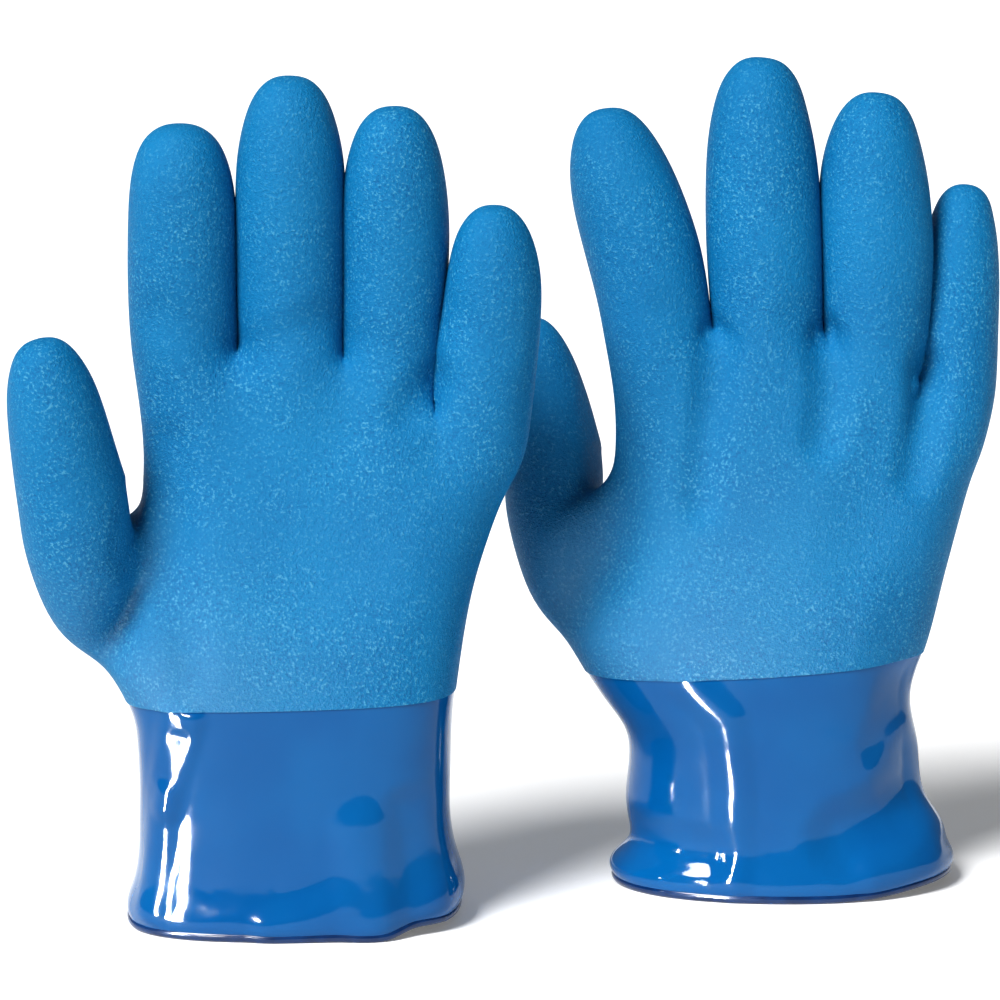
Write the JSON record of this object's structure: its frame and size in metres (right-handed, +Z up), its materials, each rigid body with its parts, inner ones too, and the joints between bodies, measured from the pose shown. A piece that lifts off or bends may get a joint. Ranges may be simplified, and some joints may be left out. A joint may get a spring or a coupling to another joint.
{
  "type": "cryogenic gloves",
  "caption": "Pair of blue dipped waterproof cold-protection gloves with a warm lining, rough grip hand, glossy cuff and bendable finger stalls, standing on their cuffs.",
  "frame": {"origin": "middle of the pair's footprint, on the surface that both cuffs stand on", "axes": "+X to the right across the pair, from the glove that shows its palm to the one that shows its back; +Z up, from the cuffs to the fingertips; the palm of the left-hand glove faces -Y"},
  "size_m": [0.313, 0.1342, 0.2626],
  "materials": {
    "grip_coat": "rough sandy grip coat over dipped PVC",
    "gloss_coat": "smooth glossy dipped PVC",
    "rim_bead": "smooth glossy rolled edge",
    "warm_lining": "brushed acrylic fleece",
    "knit_hem": "ribbed knit"
  },
  "bodies": {
    "left_cuff": {"left_cuff_shell": "gloss_coat", "left_cuff_rim": "rim_bead", "left_cuff_lining": "warm_lining", "left_lining_hem": "knit_hem"},
    "left_hand": {"left_hand_shell": "grip_coat", "left_hand_lining": "warm_lining"},
    "left_thumb_root": {"left_thumb_root_shell": "grip_coat", "left_thumb_root_lining": "warm_lining"},
    "left_thumb_tip": {"left_thumb_tip_shell": "grip_coat", "left_thumb_tip_lining": "warm_lining"},
    "left_index_root": {"left_index_root_shell": "grip_coat", "left_index_root_lining": "warm_lining"},
    "left_index_tip": {"left_index_tip_shell": "grip_coat", "left_index_tip_lining": "warm_lining"},
    "left_middle_root": {"left_middle_root_shell": "grip_coat", "left_middle_root_lining": "warm_lining"},
    "left_middle_tip": {"left_middle_tip_shell": "grip_coat", "left_middle_tip_lining": "warm_lining"},
    "left_ring_root": {"left_ring_root_shell": "grip_coat", "left_ring_root_lining": "warm_lining"},
    "left_ring_tip": {"left_ring_tip_shell": "grip_coat", "left_ring_tip_lining": "warm_lining"},
    "left_little_root": {"left_little_root_shell": "grip_coat", "left_little_root_lining": "warm_lining"},
    "left_little_tip": {"left_little_tip_shell": "grip_coat", "left_little_tip_lining": "warm_lining"},
    "right_cuff": {"right_cuff_shell": "gloss_coat", "right_cuff_rim": "rim_bead", "right_cuff_lining": "warm_lining", "right_lining_hem": "knit_hem"},
    "right_hand": {"right_hand_shell": "grip_coat", "right_hand_lining": "warm_lining"},
    "right_thumb_root": {"right_thumb_root_shell": "grip_coat", "right_thumb_root_lining": "warm_lining"},
    "right_thumb_tip": {"right_thumb_tip_shell": "grip_coat", "right_thumb_tip_lining": "warm_lining"},
    "right_index_root": {"right_index_root_shell": "grip_coat", "right_index_root_lining": "warm_lining"},
    "right_index_tip": {"right_index_tip_shell": "grip_coat", "right_index_tip_lining": "warm_lining"},
    "right_middle_root": {"right_middle_root_shell": "grip_coat", "right_middle_root_lining": "warm_lining"},
    "right_middle_tip": {"right_middle_tip_shell": "grip_coat", "right_middle_tip_lining": "warm_lining"},
    "right_ring_root": {"right_ring_root_shell": "grip_coat", "right_ring_root_lining": "warm_lining"},
    "right_ring_tip": {"right_ring_tip_shell": "grip_coat", "right_ring_tip_lining": "warm_lining"},
    "right_little_root": {"right_little_root_shell": "grip_coat", "right_little_root_lining": "warm_lining"},
    "right_little_tip": {"right_little_tip_shell": "grip_coat", "right_little_tip_lining": "warm_lining"}
  },
  "joints": [
    {"name": "left_wrist_bend", "type": "hinge", "parent": "left_cuff", "child": "left_hand", "pos_m": [-0.0683, -0.0229, 0.0615], "axis": [1, 0, 0], "range_deg": [-10, 20], "stiffness_Nm_per_rad": 1.2},
    {"name": "left_thumb_root_bend", "type": "hinge", "parent": "left_hand", "child": "left_thumb_root", "pos_m": [-0.1338, -0.0429, 0.1295], "axis": [0.7163, 0.6287, 0.3025], "range_deg": [0, 35.75], "stiffness_Nm_per_rad": 0.15},
    {"name": "left_thumb_tip_bend", "type": "hinge", "parent": "left_thumb_root", "child": "left_thumb_tip", "pos_m": [-0.1393, -0.0481, 0.15333], "axis": [0.708, 0.6113, 0.3536], "range_deg": [0, 35.75], "stiffness_Nm_per_rad": 0.08},
    {"name": "left_index_root_bend", "type": "hinge", "parent": "left_hand", "child": "left_index_root", "pos_m": [-0.1006, -0.0209, 0.1875], "axis": [1, 0, 0.0087], "range_deg": [0, 55], "stiffness_Nm_per_rad": 0.15},
    {"name": "left_index_tip_bend", "type": "hinge", "parent": "left_index_root", "child": "left_index_tip", "pos_m": [-0.10083, -0.02226, 0.21346], "axis": [1, 0, 0.0087], "range_deg": [0, 55], "stiffness_Nm_per_rad": 0.08},
    {"name": "left_middle_root_bend", "type": "hinge", "parent": "left_hand", "child": "left_middle_root", "pos_m": [-0.0686, -0.0209, 0.1885], "axis": [1, 0, -0.0087], "range_deg": [0, 55], "stiffness_Nm_per_rad": 0.15},
    {"name": "left_middle_tip_bend", "type": "hinge", "parent": "left_middle_root", "child": "left_middle_tip", "pos_m": [-0.06834, -0.02247, 0.21846], "axis": [1, 0, -0.0087], "range_deg": [0, 55], "stiffness_Nm_per_rad": 0.08},
    {"name": "left_ring_root_bend", "type": "hinge", "parent": "left_hand", "child": "left_ring_root", "pos_m": [-0.0391, -0.0219, 0.1875], "axis": [0.9994, 0, -0.0349], "range_deg": [0, 55], "stiffness_Nm_per_rad": 0.15},
    {"name": "left_ring_tip_bend", "type": "hinge", "parent": "left_ring_root", "child": "left_ring_tip", "pos_m": [-0.03812, -0.02337, 0.21544], "axis": [0.9986, 0, -0.0523], "range_deg": [0, 55], "stiffness_Nm_per_rad": 0.08},
    {"name": "left_little_root_bend", "type": "hinge", "parent": "left_hand", "child": "left_little_root", "pos_m": [-0.0104, -0.0239, 0.1695], "axis": [0.9962, 0, -0.0872], "range_deg": [0, 55], "stiffness_Nm_per_rad": 0.15},
    {"name": "left_little_tip_bend", "type": "hinge", "parent": "left_little_root", "child": "left_little_tip", "pos_m": [-0.00831, -0.02557, 0.19335], "axis": [0.9945, 0, -0.1045], "range_deg": [0, 55], "stiffness_Nm_per_rad": 0.08},
    {"name": "right_glove_lift", "type": "slide", "parent": "left_cuff", "child": "right_cuff", "axis": [0, 0, 1], "range_m": [0, 0.3]},
    {"name": "right_wrist_bend", "type": "hinge", "parent": "right_cuff", "child": "right_hand", "pos_m": [0.0837, 0.0211, 0.0615], "axis": [-1, 0, 0], "range_deg": [-10, 20], "stiffness_Nm_per_rad": 1.2},
    {"name": "right_thumb_root_bend", "type": "hinge", "parent": "right_hand", "child": "right_thumb_root", "pos_m": [0.0167, 0.0441, 0.1265], "axis": [-0.7163, 0.6287, -0.3025], "range_deg": [0, 35.75], "stiffness_Nm_per_rad": 0.15},
    {"name": "right_thumb_tip_bend", "type": "hinge", "parent": "right_thumb_root", "child": "right_thumb_tip", "pos_m": [0.01186, 0.04867, 0.14747], "axis": [-0.7199, 0.6113, -0.3286], "range_deg": [0, 35.75], "stiffness_Nm_per_rad": 0.08},
    {"name": "right_index_root_bend", "type": "hinge", "parent": "right_hand", "child": "right_index_root", "pos_m": [0.0435, 0.0191, 0.1875], "axis": [-0.9703, 0, -0.2419], "range_deg": [0, 55], "stiffness_Nm_per_rad": 0.15},
    {"name": "right_index_tip_bend", "type": "hinge", "parent": "right_index_root", "child": "right_index_tip", "pos_m": [0.03722, 0.02046, 0.21269], "axis": [-0.9744, 0, -0.225], "range_deg": [0, 55], "stiffness_Nm_per_rad": 0.08},
    {"name": "right_middle_root_bend", "type": "hinge", "parent": "right_hand", "child": "right_middle_root", "pos_m": [0.0809, 0.0191, 0.1885], "axis": [-0.9997, 0, -0.0262], "range_deg": [0, 55], "stiffness_Nm_per_rad": 0.15},
    {"name": "right_middle_tip_bend", "type": "hinge", "parent": "right_middle_root", "child": "right_middle_tip", "pos_m": [0.08012, 0.02067, 0.21845], "axis": [-0.9994, 0, -0.0349], "range_deg": [0, 55], "stiffness_Nm_per_rad": 0.08},
    {"name": "right_ring_root_bend", "type": "hinge", "parent": "right_hand", "child": "right_ring_root", "pos_m": [0.1139, 0.0201, 0.1875], "axis": [-1, 0, 0.0087], "range_deg": [0, 55], "stiffness_Nm_per_rad": 0.15},
    {"name": "right_ring_tip_bend", "type": "hinge", "parent": "right_ring_root", "child": "right_ring_tip", "pos_m": [0.11414, 0.02157, 0.21546], "axis": [-1, 0, 0.0087], "range_deg": [0, 55], "stiffness_Nm_per_rad": 0.08},
    {"name": "right_little_root_bend", "type": "hinge", "parent": "right_hand", "child": "right_little_root", "pos_m": [0.1416, 0.0291, 0.1685], "axis": [-0.9986, 0, 0.0523], "range_deg": [0, 55], "stiffness_Nm_per_rad": 0.15},
    {"name": "right_little_tip_bend", "type": "hinge", "parent": "right_little_root", "child": "right_little_tip", "pos_m": [0.14285, 0.03077, 0.19241], "axis": [-0.9976, 0, 0.0698], "range_deg": [0, 55], "stiffness_Nm_per_rad": 0.08}
  ]
}
